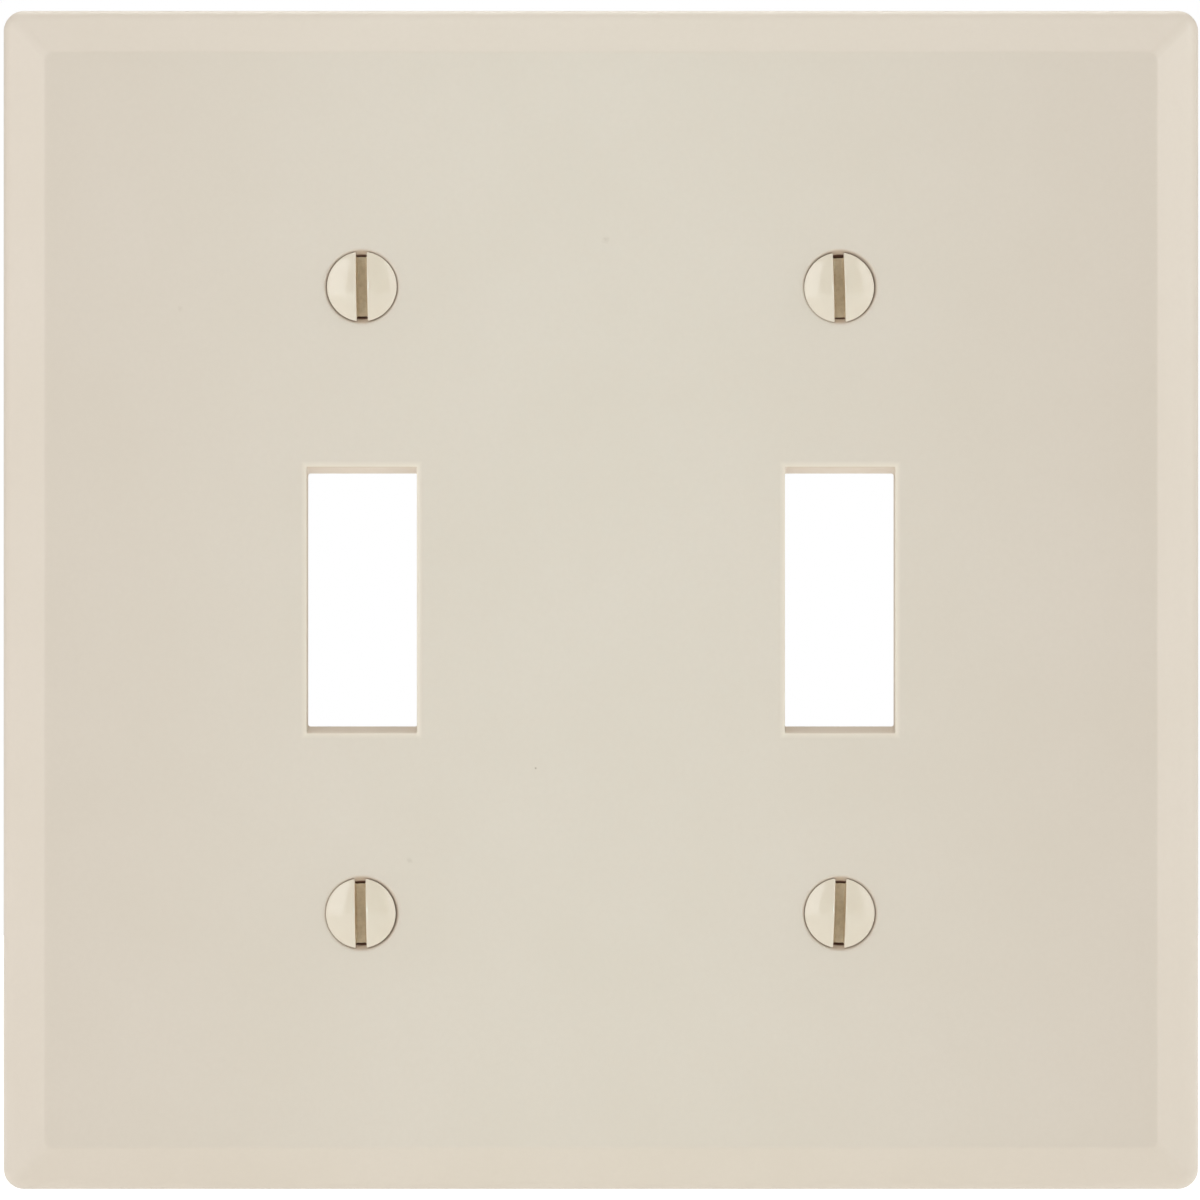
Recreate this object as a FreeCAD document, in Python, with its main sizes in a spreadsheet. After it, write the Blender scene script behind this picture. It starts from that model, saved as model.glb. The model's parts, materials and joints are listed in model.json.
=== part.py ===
import FreeCAD, Part
import os

import Sketcher

# Two-gang wall plate for toggle switches, with its four oval-head mounting screws.
#
# Frame: millimetres, +X right, +Y into the wall, +Z up. The wall is the plane y = 0, and the
# plate stands in front of it, on the -Y side. The origin is the centre of the plate and of the
# screw pattern. Every sub-part is a PartDesign body whose sizes come from the sheet.

SIZES = {
    # The moulded plate.
    "plate_width": 115.89,        # 4 9/16 in
    "plate_height": 114.3,        # 4 1/2 in
    "plate_depth": 5.6,           # wall to front face
    "edge_height": 2.3,           # upright edge at the back, before the bevel starts
    "bevel_width": 4.4,           # of the bevel, seen from the front
    "corner_radius": 2.0,
    "mitre_radius": 1.0,          # along the bevel's mitred corners
    "border_radius": 1.8,         # where the upright edge turns into the bevel
    "face_edge_radius": 0.45,     # where the bevel turns into the front face
    # Its hollow back.
    "face_thickness": 2.5,
    "wall_thickness": 1.8,        # of the upright edge
    "cavity_upright": 1.15,       # straight part of the hollow's side walls
    "back_radius": 0.8,           # in the hollow's corners
    "boss_radius": 4.0,
    "boss_clearance": 1.5,        # from the wall to the end of a boss: room for a switch strap
    "rib_clearance": 2.2,         # from the wall to the ribs and the collars
    "rib_width": 1.2,
    "rib_height": 43.0,           # of the cross ribs above and below the centre
    "collar_width": 1.4,          # of the collar round a toggle opening
    # The toggle openings.
    "gang_spacing": 46.04,        # 1 13/16 in
    "opening_width": 10.6,
    "opening_front": 25.65,       # height at the front face
    "opening_back": 24.4,         # height at the back of the collar
    "opening_radius": 0.25,
    # The screw holes.
    "screw_rise": 60.325,         # 2 3/8 in, from the lower screws to the upper ones
    "bore_diameter": 4.0,
    "seat_gap": 0.17,             # between a centred screw head and its seat, along the radius
    "seat_radius": 0.45,          # at the rim of the countersink
    # The screws: No. 6-32, 1/2 in long under the rim of an oval head.
    "head_radius": 3.36,
    "head_half_angle": 41.0,      # degrees
    "head_edge": 0.03,            # upright rim of the head
    "head_recess": 0.05,          # from the front face back to the rim of the head
    "crown_height": 0.9,
    "slot_width": 1.05,
    "slot_floor": 0.64,           # below the rim of the head
    "screw_length": 12.7,
    "neck_radius": 1.53,          # unthreaded, at the pitch radius of the thread
    "neck_end": 4.15,             # from the rim of the head
    "thread_radius": 1.7526,
    "thread_pitch": 0.79375,      # 32 to the inch
    "thread_depth": 0.487,
    "tip_chamfer": 0.45,
}

# Each screw's place in the pattern, where its head sits in the clearance of its hole, and how
# far its slot is turned from upright.
SCREWS = {
    "upper_left_screw": {"side": -1, "level": 1, "shift_x": 0.01, "shift_z": 0.01, "turn": -0.9},
    "upper_right_screw": {"side": 1, "level": 1, "shift_x": -0.09, "shift_z": -0.09, "turn": -1.6},
    "lower_left_screw": {"side": -1, "level": -1, "shift_x": -0.1, "shift_z": 0.0, "turn": -0.9},
    "lower_right_screw": {"side": 1, "level": -1, "shift_x": -0.03, "shift_z": 0.02, "turn": 1.9},
}

X_AXIS, Y_AXIS = -1, -2           # of a sketch, as its constraints name them
ORIGIN = (-1, 1)
START, END, CENTRE = 1, 2, 3      # of a line or arc, as constraints name them
TOUCH = 1e-4


def make_sheet(doc):
    sheet = doc.addObject("Spreadsheet::Sheet", "Sheet")
    cells = dict(SIZES)
    for name, screw in SCREWS.items():
        cells.update({f"{name}_{key}": value for key, value in screw.items()})
    for row, (alias, value) in enumerate(cells.items(), start=1):
        sheet.set(f"A{row}", alias)
        sheet.set(f"B{row}", str(value))
        sheet.setAlias(f"B{row}", alias)
    doc.recompute()


def value_of(obj, expression):
    """The number that an expression of the sheet's aliases comes to."""
    result = obj.evalExpression(expression)
    return float(getattr(result, "Value", result))


def make_sketch(body, name, role, offset=None):
    """A sketch on one of the body's own planes, or that far along the plane's normal."""
    sketch = body.newObject("Sketcher::SketchObject", name)
    plane = next(item for item in body.Origin.OriginFeatures if item.Role == role)
    sketch.AttachmentSupport = (plane, [""])
    sketch.MapMode = "FlatFace"
    if offset:
        sketch.setExpression("AttachmentOffset.Base.z", offset)
    return sketch


def place_point(sketch, side, point, x, y):
    """Hold a side's end, or a circle's centre, where two expressions say."""
    for kind, expression, axis in (("DistanceX", x, Y_AXIS), ("DistanceY", y, X_AXIS)):
        value = value_of(sketch, expression)
        if abs(value) < TOUCH:
            sketch.addConstraint(Sketcher.Constraint("PointOnObject", side, point, axis))
        else:
            number = sketch.addConstraint(Sketcher.Constraint(kind, *ORIGIN, side, point, value))
            sketch.setExpression(f"Constraints[{number}]", expression)


def draw_outline(sketch, corners, crowned=()):
    """A closed outline, anticlockwise through corners given as pairs of expressions.

    Its sides are straight, apart from those whose numbers are in crowned, which are arcs
    about a point of the sketch's upright axis.
    """
    points = [FreeCAD.Vector(value_of(sketch, x), value_of(sketch, y), 0) for x, y in corners]
    for number, start in enumerate(points):
        end = points[(number + 1) % len(points)]
        if number in crowned:
            height = (end.dot(end) - start.dot(start)) / (2 * (end.y - start.y))
            centre = FreeCAD.Vector(0, height, 0)
            middle = (start + end) / 2 - centre
            middle = centre + middle.normalize() * (start - centre).Length
            sketch.addGeometry(Part.Arc(start, middle, end), False)
        else:
            sketch.addGeometry(Part.LineSegment(start, end), False)
    for number, corner in enumerate(corners):
        place_point(sketch, number, START, *corner)
        following = (number + 1) % len(corners)
        sketch.addConstraint(Sketcher.Constraint("Coincident", number, END, following, START))
        if number in crowned:
            sketch.addConstraint(Sketcher.Constraint("PointOnObject", number, CENTRE, Y_AXIS))


def draw_rectangle(sketch, width, height, x="0", y="0"):
    """A rectangle about a centre, from expressions."""
    left, right = f"{x} - ({width}) / 2", f"{x} + ({width}) / 2"
    bottom, top = f"{y} - ({height}) / 2", f"{y} + ({height}) / 2"
    draw_outline(sketch, [(left, bottom), (right, bottom), (right, top), (left, top)])


def draw_circles(sketch, radius, centres):
    for number, (x, y) in enumerate(centres):
        centre = FreeCAD.Vector(value_of(sketch, x), value_of(sketch, y), 0)
        circle = Part.Circle(centre, FreeCAD.Vector(0, 0, 1), value_of(sketch, radius))
        sketch.addGeometry(circle, False)
        place_point(sketch, number, CENTRE, x, y)
        held = sketch.addConstraint(Sketcher.Constraint("Radius", number, circle.Radius))
        sketch.setExpression(f"Constraints[{held}]", radius)


def add_feature(body, kind, name, profile, reverse=False, **sizes):
    """A PartDesign feature made from a sketch, with its sizes bound to expressions."""
    feature = body.newObject(f"PartDesign::{kind}", name)
    feature.Profile = profile
    if reverse:
        feature.Reversed = True
    for key, expression in sizes.items():
        feature.setExpression(key, expression)
    profile.Visibility = False
    return feature


def add_loft(body, kind, name, profile, section):
    loft = add_feature(body, kind, name, profile)
    loft.Sections = [section]
    loft.Ruled = True
    return loft


def add_fillet(body, name, radius, wanted):
    """Round the edges of the body so far that the test wanted picks out."""
    body.Document.recompute()
    base = body.Tip
    edges = [f"Edge{n}" for n, edge in enumerate(base.Shape.Edges, start=1) if wanted(edge)]
    if not edges:
        raise ValueError(f"{name} finds no edge")
    fillet = body.newObject("PartDesign::Fillet", name)
    fillet.Base = (base, edges)
    fillet.setExpression("Radius", radius)
    body.Document.recompute()
    return fillet


def ends_of(edge):
    return [vertex.Point for vertex in edge.Vertexes]


def lies_at_depth(edge, depth, reach=TOUCH):
    """Whether both ends of an edge are that deep in front of the wall."""
    return all(abs(point.y + depth) < reach for point in ends_of(edge))


def is_upright_to_wall(edge):
    """Whether an edge is straight out of the wall."""
    points = ends_of(edge)
    return len(points) == 2 and all(abs(points[0][i] - points[1][i]) < TOUCH for i in (0, 2))


def is_mitre(edge):
    """Whether an edge runs slantwise across a corner: along the wall, and into depth too."""
    points = ends_of(edge)
    return len(points) == 2 and all(abs(points[0][i] - points[1][i]) > 1 for i in range(3))


def make_plate_shell(body):
    """The front: an upright edge, a bevel with mitred corners, and the flat face."""
    size = "Sheet.plate_width", "Sheet.plate_height"
    face = "Sheet.plate_width - 2 * Sheet.bevel_width", "Sheet.plate_height - 2 * Sheet.bevel_width"
    foot = make_sketch(body, "EdgeOutline", "XZ_Plane")
    draw_rectangle(foot, *size)
    add_feature(body, "Pad", "UprightEdge", foot, Length="Sheet.edge_height")
    start = make_sketch(body, "BevelStart", "XZ_Plane", "Sheet.edge_height")
    draw_rectangle(start, *size)
    front = make_sketch(body, "FaceOutline", "XZ_Plane", "Sheet.plate_depth")
    draw_rectangle(front, *face)
    add_loft(body, "AdditiveLoft", "Bevel", start, front)

    edge_height, depth = SIZES["edge_height"], SIZES["plate_depth"]
    add_fillet(body, "Corners", "Sheet.corner_radius", is_upright_to_wall)
    add_fillet(body, "Mitres", "Sheet.mitre_radius", is_mitre)
    add_fillet(
        body, "Border", "Sheet.border_radius", lambda edge: lies_at_depth(edge, edge_height, 0.8)
    )
    add_fillet(body, "FaceEdge", "Sheet.face_edge_radius", lambda edge: lies_at_depth(edge, depth))


def make_plate_hollow(body):
    """The hollow back, whose side walls slope with the bevel."""
    inside = [f"Sheet.plate_{side} - 2 * Sheet.wall_thickness" for side in ("width", "height")]
    ceiling = [f"Sheet.plate_{side} - 2 * Sheet.bevel_width" for side in ("width", "height")]
    mouth = make_sketch(body, "HollowMouth", "XZ_Plane")
    draw_rectangle(mouth, *inside)
    add_feature(body, "Pocket", "HollowWalls", mouth, reverse=True, Length="Sheet.cavity_upright")
    slope = make_sketch(body, "HollowSlope", "XZ_Plane", "Sheet.cavity_upright")
    draw_rectangle(slope, *inside)
    top = make_sketch(body, "HollowCeiling", "XZ_Plane", "Sheet.plate_depth - Sheet.face_thickness")
    draw_rectangle(top, *ceiling)
    add_loft(body, "SubtractiveLoft", "HollowSides", slope, top)

    half_width = SIZES["plate_width"] / 2 - SIZES["wall_thickness"] + TOUCH
    hollow_depth = SIZES["plate_depth"] - SIZES["face_thickness"] + TOUCH

    def is_corner(edge):
        inner = all(abs(p.x) < half_width and -p.y < hollow_depth for p in ends_of(edge))
        return inner and (is_upright_to_wall(edge) or is_mitre(edge))

    add_fillet(body, "HollowCorners", "Sheet.back_radius", is_corner)


def make_plate_back(body, screw_centres, gang_centres):
    """Bosses round the screw holes, collars round the openings, and stiffening ribs."""
    bury = "Sheet.face_thickness / 2"
    reach = f"Sheet.plate_depth - Sheet.face_thickness + {bury}"
    bosses = make_sketch(body, "BossEnds", "XZ_Plane", "Sheet.boss_clearance")
    draw_circles(bosses, "Sheet.boss_radius", screw_centres)
    add_feature(body, "Pad", "Bosses", bosses, Length=f"{reach} - Sheet.boss_clearance")

    rib_reach = f"{reach} - Sheet.rib_clearance"
    ceiling = [f"Sheet.plate_{side} - 2 * Sheet.bevel_width" for side in ("width", "height")]
    blocks = {"CentreRib": ("Sheet.rib_width", ceiling[1], "0", "0")}
    for name, sign in (("UpperRib", ""), ("LowerRib", "-")):
        blocks[name] = (ceiling[0], "Sheet.rib_width", "0", f"{sign}Sheet.rib_height")
    for name, (x, y) in zip(("LeftCollar", "RightCollar"), gang_centres):
        width = "Sheet.opening_width + 2 * Sheet.collar_width"
        blocks[name] = (width, "Sheet.opening_front + 2 * Sheet.collar_width", x, y)
    for name, block in blocks.items():
        sketch = make_sketch(body, f"{name}Outline", "XZ_Plane", "Sheet.rib_clearance")
        draw_rectangle(sketch, *block)
        add_feature(body, "Pad", name, sketch, Length=rib_reach)


def make_plate_openings(body, gang_centres):
    """The two toggle openings: upright sides, and slanting ends that widen to the front."""
    for name, (x, y) in zip(("Left", "Right"), gang_centres):
        front = make_sketch(body, f"{name}OpeningFront", "XZ_Plane", "Sheet.plate_depth")
        draw_rectangle(front, "Sheet.opening_width", "Sheet.opening_front", x, y)
        back = make_sketch(body, f"{name}OpeningBack", "XZ_Plane", "Sheet.rib_clearance")
        draw_rectangle(back, "Sheet.opening_width", "Sheet.opening_back", x, y)
        add_loft(body, "SubtractiveLoft", f"{name}Opening", front, back)

    depth, inside = SIZES["plate_depth"], SIZES["opening_front"]

    def is_rim(edge):
        return lies_at_depth(edge, depth) and all(abs(p.z) < inside for p in ends_of(edge))

    add_fillet(body, "OpeningRims", "Sheet.opening_radius", is_rim)


def make_screw_holes(body, screw_centres):
    """Countersunk clearance holes, with the rim of each countersink rounded over."""
    marks = make_sketch(body, "HoleCentres", "XZ_Plane", "Sheet.plate_depth")
    draw_circles(marks, "Sheet.bore_diameter / 2", screw_centres)
    body.Document.recompute()
    holes = add_feature(body, "Hole", "ScrewHoles", marks, Diameter="Sheet.bore_diameter")
    holes.DepthType = "ThroughAll"
    holes.HoleCutType = "Countersink"
    holes.HoleCutCustomValues = True
    holes.setExpression("HoleCutCountersinkAngle", "2 * Sheet.head_half_angle")
    rise = "(Sheet.head_recess + Sheet.head_edge) * tan(Sheet.head_half_angle)"
    holes.setExpression("HoleCutDiameter", f"2 * (Sheet.head_radius + Sheet.seat_gap + {rise})")

    depth = SIZES["plate_depth"]

    def is_countersink_rim(edge):
        return lies_at_depth(edge, depth) and len(ends_of(edge)) == 1

    add_fillet(body, "CountersinkRims", "Sheet.seat_radius", is_countersink_rim)


def make_wall_plate(doc):
    body = doc.addObject("PartDesign::Body", "wall_plate")
    body.Label = "wall_plate"
    across, rise = "Sheet.gang_spacing / 2", "Sheet.screw_rise / 2"
    screw_centres = [(f"{x}{across}", f"{z}{rise}") for x in ("-", "") for z in ("-", "")]
    gang_centres = [(f"-{across}", "0"), (across, "0")]
    make_plate_shell(body)
    make_plate_hollow(body)
    make_plate_back(body, screw_centres, gang_centres)
    make_plate_openings(body, gang_centres)
    make_screw_holes(body, screw_centres)
    return body


def make_screw(doc, name):
    """A slotted oval-head screw. Its own origin is on its axis, level with the head's rim."""
    body = doc.addObject("PartDesign::Body", name)
    body.Label = name
    slope = "tan(Sheet.head_half_angle)"
    cone_end = f"Sheet.head_edge + (Sheet.head_radius - Sheet.neck_radius) / {slope}"
    profile = make_sketch(body, "Profile", "XY_Plane")
    corners = [
        ("0", "-Sheet.crown_height"),
        ("Sheet.head_radius", "0"),
        ("Sheet.head_radius", "Sheet.head_edge"),
        ("Sheet.neck_radius", cone_end),
        ("Sheet.neck_radius", "Sheet.neck_end"),
        ("Sheet.thread_radius", "Sheet.neck_end + Sheet.thread_radius - Sheet.neck_radius"),
        ("Sheet.thread_radius", "Sheet.screw_length - Sheet.tip_chamfer"),
        ("Sheet.thread_radius - Sheet.tip_chamfer", "Sheet.screw_length"),
        ("0", "Sheet.screw_length"),
    ]
    draw_outline(profile, corners, crowned=[0])
    turned = add_feature(body, "Revolution", "Turned", profile)
    turned.ReferenceAxis = (profile, ["V_Axis"])
    doc.recompute()

    slot = make_sketch(body, "SlotSection", "XY_Plane")
    slot_depth = "2 * Sheet.crown_height + Sheet.slot_floor"
    draw_rectangle(
        slot, "Sheet.slot_width", slot_depth, y="Sheet.slot_floor / 2 - Sheet.crown_height"
    )
    cut = add_feature(body, "Pocket", "Slot", slot, Length="3 * Sheet.head_radius")
    cut.SideType = "Symmetric"

    groove = make_sketch(body, "ThreadGroove", "XY_Plane")
    root = "Sheet.thread_radius - Sheet.thread_depth"
    outside = "Sheet.thread_radius + Sheet.thread_depth / 4"
    beyond = "Sheet.screw_length + Sheet.thread_pitch"
    root_half = "Sheet.thread_pitch / 16"
    mouth_half = f"({root_half} + 1.25 * Sheet.thread_depth * tan(30))"
    draw_outline(
        groove,
        [
            (root, f"{beyond} - {root_half}"),
            (outside, f"{beyond} - {mouth_half}"),
            (outside, f"{beyond} + {mouth_half}"),
            (root, f"{beyond} + {root_half}"),
        ],
    )
    thread = add_feature(body, "SubtractiveHelix", "Thread", groove, reverse=True)
    thread.ReferenceAxis = (groove, ["V_Axis"])
    thread.Mode = "pitch-height-angle"
    thread.setExpression("Pitch", "Sheet.thread_pitch")
    thread.setExpression("Height", "Sheet.screw_length + Sheet.thread_pitch - Sheet.neck_end")

    body.Placement.Rotation = FreeCAD.Rotation(FreeCAD.Vector(0, 1, 0), 1)
    body.setExpression("Placement.Rotation.Angle", f"Sheet.{name}_turn")
    across = f"Sheet.{name}_side * Sheet.gang_spacing / 2 + Sheet.{name}_shift_x"
    up = f"Sheet.{name}_level * Sheet.screw_rise / 2 + Sheet.{name}_shift_z"
    body.setExpression("Placement.Base.x", across)
    body.setExpression("Placement.Base.y", "Sheet.head_recess - Sheet.plate_depth")
    body.setExpression("Placement.Base.z", up)
    return body


def check_document(doc, bodies):
    """Stop if any object failed, or if a sub-part isn't one sound solid."""
    for item in doc.Objects:
        if {"Invalid", "Error"} & set(item.State):
            raise RuntimeError(f"{item.Name} failed: {item.State}")
    for body in bodies:
        shape = body.Shape
        if shape.isNull() or not shape.isValid() or len(shape.Solids) != 1:
            raise RuntimeError(f"{body.Label} isn't one valid solid")
        cuts = [item for item in body.Group if item.TypeId in CUTTING]
        for cut in cuts:
            if cut.Shape.Volume >= cut.BaseFeature.Shape.Volume - TOUCH:
                raise RuntimeError(f"{cut.Name} cuts nothing")
        print(f"{body.Label}: {shape.Volume:.2f} mm3, {len(shape.Faces)} faces")


CUTTING = (
    "PartDesign::Pocket",
    "PartDesign::SubtractiveLoft",
    "PartDesign::Hole",
    "PartDesign::SubtractiveHelix",
)


def main():
    doc = FreeCAD.newDocument("WallPlate")
    make_sheet(doc)
    bodies = [make_wall_plate(doc)]
    bodies += [make_screw(doc, name) for name in SCREWS]
    doc.recompute()
    check_document(doc, bodies)
    os.makedirs("parts", exist_ok=True)
    for body in bodies:
        body.Shape.exportStep(f"parts/{body.Label}.step")


main()
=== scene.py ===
import json
import math

import bmesh
import bpy
from mathutils import Matrix, Vector
from mathutils.geometry import delaunay_2d_cdt


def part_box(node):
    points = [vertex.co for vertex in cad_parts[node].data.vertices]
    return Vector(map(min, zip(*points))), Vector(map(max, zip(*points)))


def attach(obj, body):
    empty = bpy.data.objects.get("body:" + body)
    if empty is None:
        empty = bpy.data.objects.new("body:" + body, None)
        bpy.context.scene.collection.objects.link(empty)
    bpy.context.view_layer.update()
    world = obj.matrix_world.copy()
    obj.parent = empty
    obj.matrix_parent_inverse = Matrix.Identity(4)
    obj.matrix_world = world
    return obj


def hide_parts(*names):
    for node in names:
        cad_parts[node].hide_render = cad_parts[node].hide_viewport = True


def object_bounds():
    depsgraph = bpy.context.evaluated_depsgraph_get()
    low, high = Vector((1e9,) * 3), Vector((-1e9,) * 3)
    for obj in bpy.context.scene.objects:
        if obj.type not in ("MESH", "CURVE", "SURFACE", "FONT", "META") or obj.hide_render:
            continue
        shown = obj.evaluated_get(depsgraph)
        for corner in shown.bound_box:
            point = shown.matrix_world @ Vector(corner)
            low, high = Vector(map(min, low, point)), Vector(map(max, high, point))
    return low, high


# A two-gang wall plate with its four mounting screws. Shapes are built in millimetres, in the
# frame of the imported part: +X right, +Y into the wall, +Z up, the wall at y = 0.

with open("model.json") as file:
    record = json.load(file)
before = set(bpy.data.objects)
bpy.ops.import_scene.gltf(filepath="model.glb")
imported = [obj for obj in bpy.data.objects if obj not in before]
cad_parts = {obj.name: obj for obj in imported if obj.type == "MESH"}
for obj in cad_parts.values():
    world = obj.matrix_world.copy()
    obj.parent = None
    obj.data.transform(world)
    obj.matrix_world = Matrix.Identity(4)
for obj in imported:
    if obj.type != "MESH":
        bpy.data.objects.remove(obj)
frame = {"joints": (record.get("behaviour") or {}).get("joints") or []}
cad_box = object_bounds()

MM = 0.001
plate_low, plate_high = (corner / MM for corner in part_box("wall_plate"))
HALF_WIDTH, HALF_HEIGHT = plate_high.x, plate_high.z
FACE = plate_low.y                 # depth of the front face
CEILING = FACE + 2.5               # of the hollow back
RIM = 0.0                          # back edge, against the wall
GUARD = 0.15                       # flat strip kept beside each rounding, so that flats stay flat
ARC_STEP = math.radians(12)
SHARP_ANGLE = math.radians(32)

BEVEL = 4.4                        # inset of the front face
EDGE_TOP = -2.3                    # where the sloping sides would meet the upright edge
WALL = 1.8                         # thickness of the side walls at the rim
WALL_FOOT = -1.15                  # where the walls start to slope in, towards the ceiling
FLAT_INSET = BEVEL + 0.9           # where the flat of the face and of the ceiling starts
HOLLOW_CORNER = 0.8                # corner radius inside the hollow, and what each mm out adds
HOLLOW_CORNER_GAIN = 0.7
FACE_CORNER = 0.9                  # corner radius of the face, and what the outline has on top
OUTLINE_CORNER_GAIN = 1.15
CORNER_FADE = 1.6                  # inset at which that gain has gone
GANG_X = 23.02
OPENING_HALF_X = 5.3
OPENING_HALF_Z = 12.825
OPENING_TAPER = 0.625              # each end leans in by this much, from the face to the collar
OPENING_CORNER = 0.22
COLLAR = 1.4
COLLAR_END = -2.2
SCREW_Z = 30.1625
SEAT_RADIUS = 3.6                  # of the countersink at the face
SEAT_SLOPE = math.tan(math.radians(41))
BORE_RADIUS = 2.0
SEAT_END = FACE + (SEAT_RADIUS - BORE_RADIUS) / SEAT_SLOPE
BOSS_RADIUS = 4.0
BOSS_END = -1.5
RIB_END = -2.2
RIB_LEVEL = 43.0
RIB_HALF = 0.56                    # half of a rib's thickness at its crest, and at its root
RIB_ROOT_HALF = 0.6
RIB_INSET = 2.7                    # of the ribs' ends, inside the walls
PIN_RADIUS = 1.6                   # of the ejector pins' marks in the ceiling
PIN_DEPTH = 0.12
PIN_MARKS = [
    (-48, 36), (-48, -36), (48, 36), (48, -36),
    (-9, 48), (9, -48), (-9, -20), (9, 20),
]

HEAD_RADIUS = 3.36
HEAD_EDGE = 0.03
CROWN = 0.9
SLOT_HALF = 0.525
SLOT_FLOOR = 0.58
SLOT_LIP = 0.09                    # rounding along the slot's two edges
SLOT_FILLET = 0.2
RIM_LIP = 0.1                      # rounding at the rim of the head
NECK_RADIUS = 1.53
NECK_END = 4.15
SCREW_END = 12.7
THREAD_RADIUS = 1.7526
THREAD_DEPTH = 0.487
PITCH = 0.79375
PAINT_END = 1.2                    # how far the paint runs down the underside of the head, darkened there as painted shade
TIP_RADIUS = 1.25                  # of the flat end, inside the thread's root
MERGE_DISTANCE = 1e-4
SLOT_TURNS = {                     # degrees, clockwise from the front
    "upper_left_screw": -0.9,
    "upper_right_screw": -1.6,
    "lower_left_screw": -0.9,
    "lower_right_screw": 1.9,
}


# Material slots of a screw.
PAINT, SLOT, ZINC, UNDERSIDE = range(4)


# ---------------------------------------------------------------- shapes

def rounded_path(corners):
    """A polyline through corners given as (across, y, radius), with an arc at each radius.

    Beside each arc a short flat guard is kept, so that smooth shading stays on the rounding.
    """
    points = [Vector(corner[:2]) for corner in corners]
    bends = []
    for before, point, after, corner in zip(points, points[1:], points[2:], corners[1:]):
        half = (before - point).angle(after - point) / 2
        bends.append((half, corner[2] / math.tan(half)))
    reaches = [0.0, *(reach for _, reach in bends), 0.0]
    lengths = [(b - a).length for a, b in zip(points, points[1:])]
    guards = [
        min(GUARD, (length - start - end) / 3)
        for length, start, end in zip(lengths, reaches, reaches[1:])
    ]
    path = [points[0]]
    for i, (half, reach) in enumerate(bends, start=1):
        point, radius = points[i], corners[i][2]
        back, ahead = (points[i - 1] - point).normalized(), (points[i + 1] - point).normalized()
        centre = point + (back + ahead).normalized() * radius / math.sin(half)
        spoke = point + back * reach - centre
        turn = math.pi - 2 * half
        if spoke.cross(point + ahead * reach - centre) < 0:
            turn = -turn
        steps = max(3, math.ceil(abs(turn) / ARC_STEP))
        path.append(point + back * (reach + guards[i - 1]))
        for step in range(steps + 1):
            path.append(centre + Matrix.Rotation(turn * step / steps, 2) @ spoke)
        path.append(point + ahead * (reach + guards[i]))
    path.append(points[-1])
    return path


def rounded_rectangle(half_x, half_z, radius, centre_x=0.0, steps=12):
    """Points of a rounded rectangle, anticlockwise as seen from the front."""
    points = []
    for quarter, (side, level) in enumerate(((1, 1), (-1, 1), (-1, -1), (1, -1))):
        for step in range(steps + 1):
            angle = math.pi / 2 * (quarter + step / steps)
            x = centre_x + side * (half_x - radius) + radius * math.cos(angle)
            points.append((x, level * (half_z - radius) + radius * math.sin(angle)))
    return points


def circle(radius, centre_x, centre_z, steps=72):
    angles = (2 * math.pi * step / steps for step in range(steps))
    return [(centre_x + radius * math.cos(a), centre_z + radius * math.sin(a)) for a in angles]


def add_ring(bm, points, y):
    return [bm.verts.new((x, y, z)) for x, z in points]


def bridge(bm, rings, material=0):
    """Quads between each ring of vertices and the next one."""
    for first, second in zip(rings, rings[1:]):
        for i, (a, b) in enumerate(zip(first, second)):
            c, d = second[i - 1], first[i - 1]
            if len({a, b, c, d}) == 4:
                bm.faces.new((a, b, c, d)).material_index = material


def fill_flat(bm, outline, holes):
    """Triangles over a flat region at one depth, inside its outline and outside its holes."""
    loops = [outline, *holes]
    verts = [vert for loop in loops for vert in loop]
    edges, first = [], 0
    for loop in loops:
        count = len(loop)
        edges += [(first + i, first + (i + 1) % count) for i in range(count)]
        first += count
    points = [Vector((vert.co.x, vert.co.z)) for vert in verts]
    loop_of = [number for number, loop in enumerate(loops) for _ in loop]
    result = delaunay_2d_cdt(points, edges, [], 1, 1e-7)
    faces, sources = result[2], result[3]
    for face in faces:
        corners = [sources[i][0] for i in face]
        touched = {loop_of[i] for i in corners}
        if touched == {0} or len(touched) > 1:      # a hole is convex, so its own triangles go
            bm.faces.new([verts[i] for i in corners])


def weave(bm, rows, materials):
    """Quads between neighbouring open rows of vertices, with one material for each gap."""
    for first, second, material in zip(rows, rows[1:], materials):
        for i in range(len(first) - 1):
            face = bm.faces.new((first[i], first[i + 1], second[i + 1], second[i]))
            face.material_index = material


def polar(bm, radius, angle, y):
    """A vertex round the y axis, at an angle in degrees, clockwise from the top in front view."""
    a = math.radians(angle)
    return bm.verts.new((radius * math.sin(a), y, radius * math.cos(a)))


def finish_mesh(bm, name, materials):
    """Turn millimetres into metres, set smooth shading with sharp creases, and make the object."""
    bmesh.ops.recalc_face_normals(bm, faces=bm.faces)
    bmesh.ops.scale(bm, vec=(MM, MM, MM), verts=bm.verts)
    mesh = bpy.data.meshes.new(name)
    bm.to_mesh(mesh)
    bm.free()
    for material in materials:
        mesh.materials.append(material)
    mesh.shade_smooth()
    mesh.set_sharp_from_angle(angle=SHARP_ANGLE)
    obj = bpy.data.objects.new(name, mesh)
    bpy.context.scene.collection.objects.link(obj)
    return obj


def hollow_corner(inset):
    """Corner radius of the hollow and of the rim at an inset from the outline."""
    return HOLLOW_CORNER + HOLLOW_CORNER_GAIN * max(0.0, WALL - inset)


def front_corner(inset):
    """Corner radius of the edge, the bevel and the face at an inset from the outline."""
    return FACE_CORNER + OUTLINE_CORNER_GAIN * max(0.0, 1 - inset / CORNER_FADE) ** 2


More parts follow.
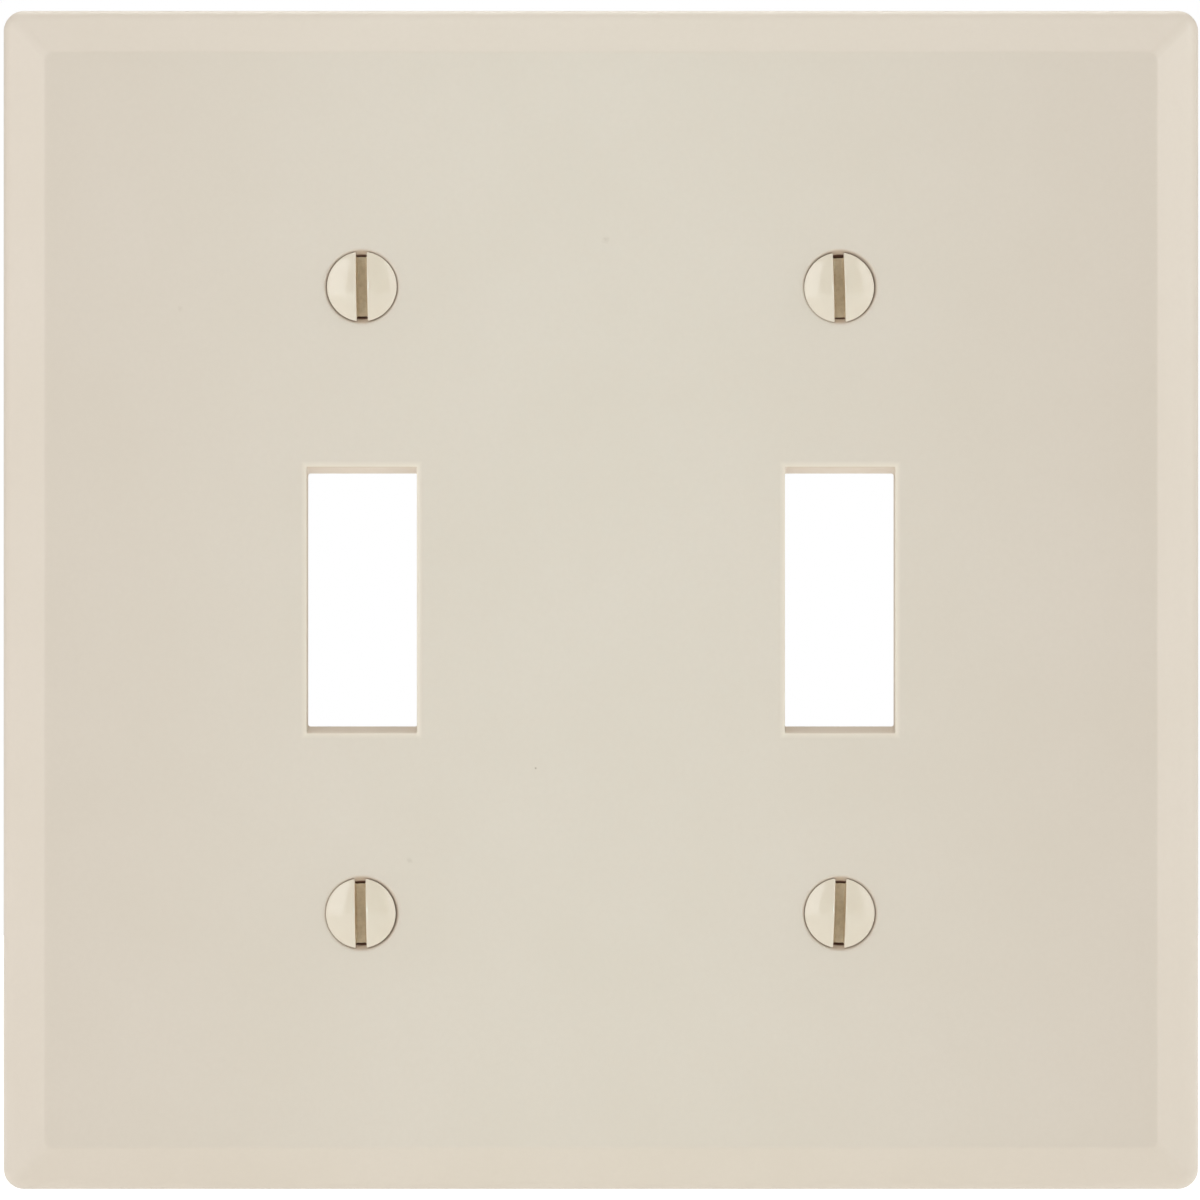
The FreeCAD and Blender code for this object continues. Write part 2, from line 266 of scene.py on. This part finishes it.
def border_rings(bm):
    """The plate's cross-section, from the ceiling of the hollow round the rim to the face."""
    inside = [
        (FLAT_INSET, CEILING, 0),
        (BEVEL, CEILING, 0.35),
        (WALL, WALL_FOOT, 0.5),
        (WALL, RIM, 0.15),
        (WALL / 2, RIM, 0),
    ]
    outside = [
        (WALL / 2, RIM, 0),
        (0.0, RIM, 0.25),
        (0.0, EDGE_TOP, 3.0),
        (BEVEL, FACE, 0.45),
        (FLAT_INSET, FACE, 0),
    ]
    rings = [(inset, y, hollow_corner(inset)) for inset, y in rounded_path(inside)[:-1]]
    for inset, y in rounded_path(outside):
        on_rim = y > RIM - 0.001
        rings.append((inset, y, hollow_corner(inset) if on_rim else front_corner(inset)))
    return [
        add_ring(bm, rounded_rectangle(HALF_WIDTH - inset, HALF_HEIGHT - inset, radius), y)
        for inset, y, radius in rings
    ]


def opening_rings(bm, centre_x):
    """One toggle opening: its soft rim, its walls and the collar behind it."""
    corners = [
        (1.9, FACE, 0),
        (0.36, FACE, 1.2),
        (0.0, FACE + 0.2, 0.22),            # the rim rolls over softly, then the walls go in
        (0.0, COLLAR_END, 0.2),
        (COLLAR, COLLAR_END, 0.25),
        (COLLAR, CEILING, 0.3),
        (COLLAR + 1.0, CEILING, 0),
    ]
    rings = []
    for outset, y in rounded_path(corners):
        lean = OPENING_TAPER * (y - FACE) / (COLLAR_END - FACE)
        lean *= 1 - min(1.0, max(0.0, outset / COLLAR))
        half_z = OPENING_HALF_Z + outset - lean
        radius = OPENING_CORNER + 0.6 * max(0.0, outset)
        points = rounded_rectangle(OPENING_HALF_X + outset, half_z, radius, centre_x, steps=6)
        rings.append(add_ring(bm, points, y))
    return rings


def screw_hole_rings(bm, centre_x, centre_z):
    """One countersunk hole, and the boss behind it."""
    corners = [
        (SEAT_RADIUS + 1.8, FACE, 0),       # the face dishes very slightly towards the hole
        (SEAT_RADIUS + 0.8, FACE, 30.0),
        (SEAT_RADIUS, FACE + 0.02, 0.45),
        (BORE_RADIUS, SEAT_END, 0.12),
        (BORE_RADIUS, BOSS_END, 0.15),
        (BOSS_RADIUS, BOSS_END, 0.25),
        (BOSS_RADIUS, CEILING, 0.35),
        (BOSS_RADIUS + 0.9, CEILING, 0),
    ]
    return [add_ring(bm, circle(r, centre_x, centre_z), y) for r, y in rounded_path(corners)]


def pin_mark_rings(bm, centre_x, centre_z):
    """The shallow round mark that an ejector pin leaves in the ceiling."""
    floor_y = CEILING - PIN_DEPTH
    corners = [
        (PIN_RADIUS + 0.7, CEILING, 0),
        (PIN_RADIUS, CEILING, 0.03),
        (PIN_RADIUS - 0.05, floor_y, 0.03),
        (PIN_RADIUS - 0.5, floor_y, 0),
    ]
    return [add_ring(bm, circle(r, centre_x, centre_z, 40), y) for r, y in rounded_path(corners)]


def make_rib(name, length, centre, turned):
    """One stiffening rib, as a bar that starts inside the ceiling and ends inside the walls."""
    side = [(RIB_ROOT_HALF, CEILING + 0.2, 0), (RIB_HALF, RIB_END, 0.18), (0, RIB_END, 0)]
    half = [(RIB_ROOT_HALF + 0.4, CEILING - 0.2), *rounded_path(side)[:-1]]
    section = half + [(-across, y) for across, y in reversed(half)]
    bm = bmesh.new()
    ends = []
    for end in (-length / 2, length / 2):
        ends.append([
            bm.verts.new((end, y, across + centre) if turned else (across + centre, y, end))
            for across, y in section
        ])
    bridge(bm, ends)
    for ring in ends:
        bm.faces.new(ring)
    return finish_mesh(bm, name, [])


def make_plate(materials):
    """The moulding. Its second material is the plastic inside the countersinks, darkened with depth
    as painted shade.
    """
    bm = bmesh.new()
    border = border_rings(bm)
    bridge(bm, border)
    face_holes, ceiling_holes = [], []
    for side in (-1, 1):
        opening = opening_rings(bm, side * GANG_X)
        bridge(bm, opening)
        holes = [opening]
        for level in (-1, 1):
            hole = screw_hole_rings(bm, side * GANG_X, level * SCREW_Z)
            bridge(bm, hole)
            holes.append(hole)
        face_holes += [rings[0] for rings in holes]
        ceiling_holes += [rings[-1] for rings in holes]
    for x, z in PIN_MARKS:
        mark = pin_mark_rings(bm, x, z)
        bridge(bm, mark)
        bm.faces.new(mark[-1])
        ceiling_holes.append(mark[0])
    fill_flat(bm, border[-1], face_holes)
    fill_flat(bm, border[0], ceiling_holes)
    # Faces in the countersinks take the second material, with its painted shade.
    for face in bm.faces:
        centre = face.calc_center_median()
        from_screw = math.hypot(abs(centre.x) - GANG_X, abs(centre.z) - SCREW_Z)
        face.material_index = int(from_screw < SEAT_RADIUS and centre.y < SEAT_END)
    plate = finish_mesh(bm, "moulded_plate", materials)

    ribs = [
        make_rib("rib_upright", 2 * (HALF_HEIGHT - RIB_INSET), 0.0, False),
        make_rib("rib_upper", 2 * (HALF_WIDTH - RIB_INSET), RIB_LEVEL, True),
        make_rib("rib_lower", 2 * (HALF_WIDTH - RIB_INSET), -RIB_LEVEL, True),
    ]
    for rib in ribs:
        union = plate.modifiers.new(rib.name, "BOOLEAN")
        union.operation, union.solver, union.object = "UNION", "EXACT", rib
    bpy.context.view_layer.update()
    evaluated = plate.evaluated_get(bpy.context.evaluated_depsgraph_get())
    merged = bpy.data.meshes.new_from_object(evaluated)
    plate.modifiers.clear()
    plate.data = merged
    merged.name = "moulded_plate"
    for rib in ribs:
        bpy.data.objects.remove(rib)
    merged.shade_smooth()
    merged.set_sharp_from_angle(angle=SHARP_ANGLE)
    return plate


def dome(radius):
    """Height of the crowned head at a radius, with its rim rounded over. Out of the wall is -y."""
    sphere = (HEAD_RADIUS**2 + CROWN**2) / (2 * CROWN)
    y = sphere - CROWN - math.sqrt(sphere**2 - min(radius, HEAD_RADIUS) ** 2)
    into = min(1.0, max(0.0, (radius - HEAD_RADIUS + RIM_LIP) / RIM_LIP))
    return y + HEAD_EDGE * (1 - math.sqrt(1 - into * into))


def cone_radius(y):
    """Radius of the head's underside at a depth."""
    return HEAD_RADIUS - max(0.0, y - HEAD_EDGE) * SEAT_SLOPE


def head_columns():
    """Half of the head's columns, from the slot's middle to the rim.

    Each is (x, drop below the dome or None, depth if flat, angle on the cone below, material).
    """
    columns = []
    fillet_x = SLOT_HALF - SLOT_FILLET
    for x, low in ((0.0, 0.0), (fillet_x * 0.6, 4.0)):
        columns.append((x, None, SLOT_FLOOR, low, SLOT))
    for turn, low in ((0, 7.6), (22.5, 8.6), (45, 9.4), (67.5, 10.1), (90, 10.8)):
        a = math.radians(turn)
        y = SLOT_FLOOR - SLOT_FILLET * (1 - math.cos(a))
        columns.append((fillet_x + SLOT_FILLET * math.sin(a), None, y, low, SLOT))
    for turn, low in ((90, 12.6), (67.5, 13.0), (45, 13.4), (22.5, 13.8), (0, 14.2)):
        a = math.radians(turn)
        x = SLOT_HALF + SLOT_LIP * (1 - math.sin(a))
        columns.append((x, SLOT_LIP * (1 - math.cos(a)), None, low, PAINT))
    # The crown's own columns: the first stands close beside the slot's lip.
    first_x, first_low, count = HEAD_RADIUS * math.sin(math.radians(12.2)), 15.0, 22
    columns.append((first_x, 0.0, None, first_low, PAINT))
    for i in range(1, count):
        low = first_low + (90 - first_low) * i / count
        columns.append((HEAD_RADIUS * math.sin(math.radians(low)), 0.0, None, low, PAINT))
    return columns


def thread_rows(bm, angles):
    """Rows along a right-handed 60 degree thread, closed on themselves one pitch further on."""
    root = THREAD_RADIUS - THREAD_DEPTH
    # One pitch of the thread, as (part of the pitch, radius): root, flank and crest.
    profile = ((0.0, root), (0.125, root), (0.48, THREAD_RADIUS), (0.645, THREAD_RADIUS))
    turns = math.ceil((SCREW_END - NECK_END) / PITCH) + 2
    rows = []
    for turn in range(-1, turns):
        for part, radius in profile:
            row = []
            for angle in [*angles, angles[0] + 360]:
                y = NECK_END + PITCH * (turn + part + (angle - angles[0]) / 360)
                y = min(SCREW_END, max(NECK_END, y))
                grow = min(1.0, (y - NECK_END) / PITCH)
                r = NECK_RADIUS + (radius - NECK_RADIUS) * grow
                row.append(polar(bm, min(r, TIP_RADIUS + SCREW_END - y), angle, y))
            rows.append(row)
    return rows


def add_head(bm):
    """The crowned head with its slot. Its rim comes back, clockwise from the left in front view.

    The angle at which each point of the rim stands further down comes back too.
    """
    half = head_columns()
    columns = [(-x, *rest) for x, *rest in reversed(half[1:])] + half
    sweep = [math.radians(a) for a in (0, 12, 24, 36, 47, 57, 66, 73.5, 79, 83, 86, 88.3, 90)]
    spread = [-math.sin(a) for a in reversed(sweep[1:])] + [math.sin(a) for a in sweep]
    grid = []
    for x, drop, flat, _, _ in columns:
        edge_y = flat if drop is None else HEAD_EDGE + drop
        reach = math.sqrt(cone_radius(edge_y) ** 2 - x * x)
        column = []
        for part in spread:
            z = part * reach
            y = flat if drop is None else dome(math.hypot(x, z)) + drop
            if part in (spread[0], spread[-1]):
                y = edge_y
            column.append(bm.verts.new((x, y, z)))
        grid.append(column)
    weave(bm, grid, [SLOT if SLOT in (a[4], b[4]) else PAINT for a, b in zip(columns, columns[1:])])
    left = bm.verts.new((-HEAD_RADIUS, HEAD_EDGE, 0))
    right = bm.verts.new((HEAD_RADIUS, HEAD_EDGE, 0))
    for tip, column in ((left, grid[0]), (right, grid[-1])):
        for i in range(len(spread) - 1):
            bm.faces.new((tip, column[i], column[i + 1]))
    rim = [left, *(column[-1] for column in grid), right, *(column[0] for column in reversed(grid))]
    lows = [math.copysign(column[3], column[0]) for column in columns]
    return rim, [-90, *lows, 90, *(180 - low for low in reversed(lows))]


def make_screw(name, joint, materials):
    """One slotted oval-head screw, riding on its own body."""
    bm = bmesh.new()
    rim, angles = add_head(bm)

    def level(y, radius):
        return [polar(bm, radius, angle, y) for angle in angles]

    cone_end = HEAD_EDGE + (HEAD_RADIUS - NECK_RADIUS) / SEAT_SLOPE
    cone = [rim] + [level(y, cone_radius(y)) for y in (SLOT_FLOOR + 0.12, 1.4, cone_end - 0.1)]
    neck = [level(y, NECK_RADIUS) for y in (cone_end, cone_end + 0.15, NECK_END - 0.1, NECK_END)]
    bridge(bm, cone)
    bridge(bm, [cone[-1], *neck], material=ZINC)
    # The head's underside takes near-black paint: painted shade in the gap to the plate.
    for face in bm.faces:
        centre = face.calc_center_median()
        if centre.y > HEAD_EDGE and centre.xz.length > cone_radius(centre.y) - 0.02:
            face.material_index = UNDERSIDE if centre.y < PAINT_END else ZINC
    rows = thread_rows(bm, angles)
    weave(bm, rows, [ZINC] * (len(rows) - 1))
    bmesh.ops.remove_doubles(bm, verts=bm.verts, dist=MERGE_DISTANCE)
    bmesh.ops.dissolve_degenerate(bm, edges=bm.edges, dist=MERGE_DISTANCE)
    tip = [edge for edge in bm.edges if edge.is_boundary]
    bmesh.ops.edgeloop_fill(bm, edges=tip, mat_nr=ZINC)
    bmesh.ops.recalc_face_normals(bm, faces=bm.faces)
    turn = Matrix.Rotation(math.radians(SLOT_TURNS[name]), 4, "Y")
    bmesh.ops.transform(bm, matrix=turn, verts=bm.verts)
    bmesh.ops.translate(bm, vec=Vector(joint["pos_m"]) / MM, verts=bm.verts)
    screw = finish_mesh(bm, name + "_turned", materials)
    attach(screw, joint["child"])
    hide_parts(name)


# ---------------------------------------------------------------- materials

class Surface:
    """A node material that starts from object coordinates."""

    def __init__(self, name, **inputs):
        self.material = bpy.data.materials.new(name)
        self.material.use_nodes = True
        self.tree = self.material.node_tree
        self.shader = self.tree.nodes["Principled BSDF"]
        self.coords = self.add("ShaderNodeTexCoord").outputs["Object"]
        for key, value in inputs.items():
            self.shader.inputs[key.replace("_", " ")].default_value = value

    def add(self, kind, links=(), **values):
        node = self.tree.nodes.new(kind)
        for key, value in values.items():
            setattr(node, key, value)
        for socket, source in links:
            self.tree.links.new(source, node.inputs[socket])
        return node

    def noise(self, size_mm, detail, rough=0.5):
        node = self.add("ShaderNodeTexNoise", [("Vector", self.coords)])
        node.inputs["Scale"].default_value = 1 / (size_mm * MM)
        node.inputs["Detail"].default_value = detail
        node.inputs["Roughness"].default_value = rough
        return node.outputs["Fac"]

    def remap(self, value, low, high, to_low, to_high):
        node = self.add("ShaderNodeMapRange", [("Value", value)])
        numbers = {"From Min": low, "From Max": high, "To Min": to_low, "To Max": to_high}
        for key, number in numbers.items():
            node.inputs[key].default_value = number
        return node.outputs["Result"]

    def mix(self, factor, first, second):
        node = self.add("ShaderNodeMix", data_type="RGBA")
        self.tree.links.new(factor, node.inputs[0])
        for socket, value in ((node.inputs[6], first), (node.inputs[7], second)):
            if hasattr(value, "default_value"):
                self.tree.links.new(value, socket)
            else:
                socket.default_value = (*value, 1)
        return node.outputs[2]

    def add_up(self, first, second, weight):
        node = self.add("ShaderNodeMath", [(0, second), (2, first)], operation="MULTIPLY_ADD")
        node.inputs[1].default_value = weight
        return node.outputs[0]

    def math(self, operation, first, second=0.0):
        node = self.add("ShaderNodeMath", operation=operation)
        for socket, value in zip(node.inputs, (first, second)):
            if hasattr(value, "default_value"):
                self.tree.links.new(value, socket)
            else:
                socket.default_value = value
        return node.outputs[0]

    def bump(self, height, distance_mm):
        node = self.add("ShaderNodeBump", [("Height", height)])
        node.inputs["Strength"].default_value = 1.0
        node.inputs["Distance"].default_value = distance_mm * MM
        self.link("Normal", node.outputs["Normal"])

    def link(self, key, value):
        self.tree.links.new(value, self.shader.inputs[key])


# Faint darker flecks moulded into the face: across, up, size in millimetres, and strength.
FLECKS = [
    (0.4, 34.7, 0.42, 0.2),
    (-18.4, -25.1, 0.38, 0.2),
    (-6.3, -16.2, 0.13, 0.9),
    (-40.5, 28.0, 0.35, 0.12),
]
FLECK_TONE = (0.36, 0.27, 0.17)
PLASTIC_TONES = (0.77, 0.695, 0.58), (0.785, 0.71, 0.60)
PLASTIC_GRAIN = (0.74, 0.665, 0.555)
# Painted highlight: a paler band on the soft rims of the openings.
OPENING_RIM_HIGHLIGHT = (0.87, 0.795, 0.665)
# Painted shade: browner, darker walls inside the openings.
OPENING_WALL_SHADE = (0.69, 0.59, 0.46)
# Painted shade in the countersinks: browner, then nearly black with depth.
SEAT_SHADE = (0.70, 0.57, 0.44)
DEEP_SEAT_SHADE = (0.16, 0.08, 0.05)


def plate_plastic(name, with_seat_shade=False):
    """Moulded plastic, paler on the rims of the openings as a painted highlight and browner on
    their walls as painted shade.

    In a countersink, painted shade darkens it with depth.
    """
    s = Surface(name, IOR=1.5)
    broad, fine = s.noise(14, 3), s.noise(0.55, 4, 0.6)
    tone = s.mix(s.remap(broad, 0.3, 0.7, 0, 1), *PLASTIC_TONES)
    tone = s.mix(s.remap(fine, 0.25, 0.75, 0, 0.35), tone, PLASTIC_GRAIN)

    # How far outside the nearest opening a point is: below nothing, it is on the opening's walls.
    place = s.add("ShaderNodeSeparateXYZ", [("Vector", s.coords)]).outputs
    across = s.math("ABSOLUTE", s.math("SUBTRACT", s.math("ABSOLUTE", place["X"]), GANG_X * MM))
    beside = s.math("SUBTRACT", across, OPENING_HALF_X * MM)
    above = s.math("SUBTRACT", s.math("ABSOLUTE", place["Z"]), OPENING_HALF_Z * MM)
    outside = s.math("MAXIMUM", beside, above)
    highlight_fading = s.remap(outside, 0.1 * MM, 0.55 * MM, 1, 0)
    highlight_in_front = s.remap(outside, -0.02 * MM, 0.02 * MM, 0, 1)
    wall_shade_mask = s.remap(outside, -0.02 * MM, 0.02 * MM, 1, 0)
    # A paler band just in front of each opening's rim: a painted highlight.
    tone = s.mix(s.math("MULTIPLY", highlight_fading, highlight_in_front), tone, OPENING_RIM_HIGHLIGHT)
    # Browner, darker walls inside the openings: painted shade in the recess.
    tone = s.mix(wall_shade_mask, tone, OPENING_WALL_SHADE)
    # Painted shade in the countersink: browner near the face, nearly black deeper in.
    if with_seat_shade:
        for start, end, colour in ((0.0, 0.2, SEAT_SHADE), (0.5, 0.62, DEEP_SEAT_SHADE)):
            deep = s.remap(place["Y"], (FACE + start) * MM, (FACE + end) * MM, 0, 1)
            tone = s.mix(deep, tone, colour)

    for x, z, size, depth in FLECKS:
        offset = s.add("ShaderNodeVectorMath", [(0, s.coords)], operation="DISTANCE")
        offset.inputs[1].default_value = (x * MM, FACE * MM, z * MM)
        away = s.add_up(s.remap(fine, 0.3, 0.7, 0, size * MM), offset.outputs["Value"], 1.0)
        near = s.remap(away, 0.5 * size * MM, 1.5 * size * MM, depth, 0)
        tone = s.mix(near, tone, FLECK_TONE)
    s.link("Base Color", tone)
    s.link("Roughness", s.remap(s.noise(0.9, 3), 0.3, 0.7, 0.36, 0.48))
    s.bump(s.add_up(s.noise(1.3, 2), s.noise(0.28, 3), 0.35), 0.012)
    return s.material


def coating(name, tones, mottle, gloss, relief, **inputs):
    """A thin coat whose tone, gloss and relief each vary with a noise of their own.

    mottle is (size, detail, low end of the noise), gloss is (size, lowest, highest roughness) and
    relief is (size, detail, height). Sizes and heights are in millimetres.
    """
    s = Surface(name, **inputs)
    size, detail, low = mottle
    s.link("Base Color", s.mix(s.remap(s.noise(size, detail), low, 0.7, 0, 1), *tones))
    size, smoothest, roughest = gloss
    s.link("Roughness", s.remap(s.noise(size, 3), 0.3, 0.7, smoothest, roughest))
    size, detail, height = relief
    s.bump(s.noise(size, detail), height)
    return s.material


def screw_coatings():
    """A screw's materials, in the order of its slots: PAINT, SLOT, ZINC, UNDERSIDE."""
    return [
        coating(
            "screw_paint", ((0.815, 0.73, 0.585), (0.83, 0.75, 0.605)),
            mottle=(1.6, 3, 0.3), gloss=(0.5, 0.08, 0.15), relief=(0.7, 2, 0.003), IOR=1.68,
        ),
        # The slot's paint is darker and browner than the head's: painted shade in the slot.
        coating(
            "slot_paint_painted_shade", ((0.69, 0.555, 0.37), (0.59, 0.46, 0.29)),
            mottle=(0.4, 4, 0.35), gloss=(0.3, 0.35, 0.55), relief=(0.25, 3, 0.01), IOR=1.5,
        ),
        coating(
            "zinc_plating", ((0.56, 0.55, 0.52), (0.70, 0.70, 0.69)),
            mottle=(0.8, 4, 0.3), gloss=(0.35, 0.26, 0.44), relief=(0.2, 3, 0.008), Metallic=1.0,
        ),
        # Near-black brown paint under the head: painted shade in the gap round the head.
        coating(
            "underside_painted_shade", ((0.24, 0.12, 0.06), (0.15, 0.08, 0.04)),
            mottle=(0.4, 4, 0.35), gloss=(0.3, 0.45, 0.65), relief=(0.25, 3, 0.01), IOR=1.5,
        ),
    ]


# ---------------------------------------------------------------- the object

plate = make_plate([plate_plastic("plate_plastic"), plate_plastic("seat_plastic_painted_shade", with_seat_shade=True)])
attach(plate, "plate")
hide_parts("wall_plate")

screw_materials = screw_coatings()
for joint in frame["joints"]:
    make_screw(joint["child"], joint, screw_materials)


# ---------------------------------------------------------------- the stage

CAMERA_LENS = 180.8                # mm, on a sensor 36 mm wide
CAMERA_PLACE = (-0.000087, -0.5856, 0)
FLOOR_HALF = 0.62
FLOOR_GAP = 0.010                  # from the plate's lower edge down to the floor
# The floor's own glow: under and in front of the plate, behind it, and far from it.
FLOOR_GLOW, BACK_GLOW, FAR_GLOW = 0.22, 0.46, 0.8
BACK_START, BACK_FULL = 0.035, 0.085
FAR_START, FAR_FULL = 0.3, 0.6
PAPER_TONES = (0.86, 0.86, 0.86), (0.90, 0.90, 0.90)
WORLD_STRENGTH = 0.29
WORLD_COLOUR = (1.0, 0.93, 0.88, 1)
WHITE = (1, 1, 1, 1)
# Name, degrees across and up, distance, width, height, radiance, colour and spread of each light.
LIGHTS = [
    ("left_box", -46, 12, 0.7, 0.40, 1.0, 1.62, (0.90, 0.92, 0.975), 180),
    ("left_strip", -84, 8, 0.7, 0.26, 1.0, 1.3, (0.95, 0.95, 0.97), 180),
    ("right_box", 53, 12, 0.7, 0.24, 1.0, 1.22, (0.92, 0.94, 0.975), 180),
    ("right_strip", 86, 8, 0.7, 0.28, 1.0, 2.52, (0.92, 0.94, 0.97), 180),
    ("top_strip", 0, 84, 0.7, 0.8, 0.32, 1.8, (1, 0.99, 0.98), 180),
    ("back_strip", 180, 45, 0.7, 0.5, 0.2, 3.0, (1, 0.985, 0.97), 180),
    ("front_strip", 0, 3, 0.45, 0.08, 0.3, 0.09, (0.60, 0.96, 1), 16),
]

scene = bpy.context.scene
scene.view_settings.view_transform = "Standard"

camera_data = bpy.data.cameras.new("camera")
camera_data.lens = CAMERA_LENS
camera_data.sensor_width = 36
camera = bpy.data.objects.new("camera", camera_data)
camera.location = CAMERA_PLACE
camera.rotation_euler = (math.radians(90), 0, 0)
scene.collection.objects.link(camera)
scene.camera = camera


def make_floor(height):
    """A square of pale paper that glows more behind the plate and far from it."""
    corners = [
        (x * FLOOR_HALF, y * FLOOR_HALF, height) for x, y in ((-1, -1), (1, -1), (1, 1), (-1, 1))
    ]
    mesh = bpy.data.meshes.new("floor")
    mesh.from_pydata(corners, [], [(0, 1, 2, 3)])
    floor = bpy.data.objects.new("floor", mesh)
    scene.collection.objects.link(floor)
    paper = Surface("floor_paper", Roughness=0.8)
    paper.shader.inputs["Emission Color"].default_value = WHITE
    depth = paper.add("ShaderNodeSeparateXYZ", [("Vector", paper.coords)]).outputs["Y"]
    length = paper.add("ShaderNodeVectorMath", [(0, paper.coords)], operation="LENGTH")
    behind = paper.remap(depth, BACK_START, BACK_FULL, FLOOR_GLOW, BACK_GLOW)
    far_off = paper.remap(length.outputs["Value"], FAR_START, FAR_FULL, FLOOR_GLOW, FAR_GLOW)
    paper.link("Emission Strength", paper.math("MAXIMUM", behind, far_off))
    paper.link("Base Color", paper.mix(paper.noise(3, 4), *PAPER_TONES))
    mesh.materials.append(paper.material)


def softbox(name, across, up, distance, width, height, radiance, colour, spread):
    """A soft area light that faces the plate, at angles in degrees from straight in front."""
    data = bpy.data.lights.new(name, "AREA")
    data.shape, data.size, data.size_y = "RECTANGLE", width, height
    data.energy = radiance * math.pi * width * height
    data.color = colour
    data.spread = math.radians(spread)
    light = bpy.data.objects.new(name, data)
    a, e = math.radians(across), math.radians(up)
    place = Vector((math.sin(a) * math.cos(e), -math.cos(a) * math.cos(e), math.sin(e))) * distance
    light.location = place
    light.rotation_euler = (-place).to_track_quat("-Z", "Y").to_euler()
    light.visible_camera = False
    scene.collection.objects.link(light)


def make_world():
    """Soft warm surroundings for the light, and a plain white backdrop for the camera."""
    world = bpy.data.worlds.new("World")
    scene.world = world
    world.use_nodes = True
    nodes, links = world.node_tree.nodes, world.node_tree.links
    surroundings = nodes["Background"]
    surroundings.inputs["Color"].default_value = WORLD_COLOUR
    surroundings.inputs["Strength"].default_value = WORLD_STRENGTH
    backdrop = nodes.new("ShaderNodeBackground")
    backdrop.inputs["Color"].default_value = WHITE
    seen = nodes.new("ShaderNodeLightPath")
    either = nodes.new("ShaderNodeMixShader")
    links.new(seen.outputs["Is Camera Ray"], either.inputs[0])
    links.new(surroundings.outputs[0], either.inputs[1])
    links.new(backdrop.outputs[0], either.inputs[2])
    links.new(either.outputs[0], nodes["World Output"].inputs["Surface"])


make_floor(cad_box[0][2] - FLOOR_GAP)
for light in LIGHTS:
    softbox(*light)
make_world()
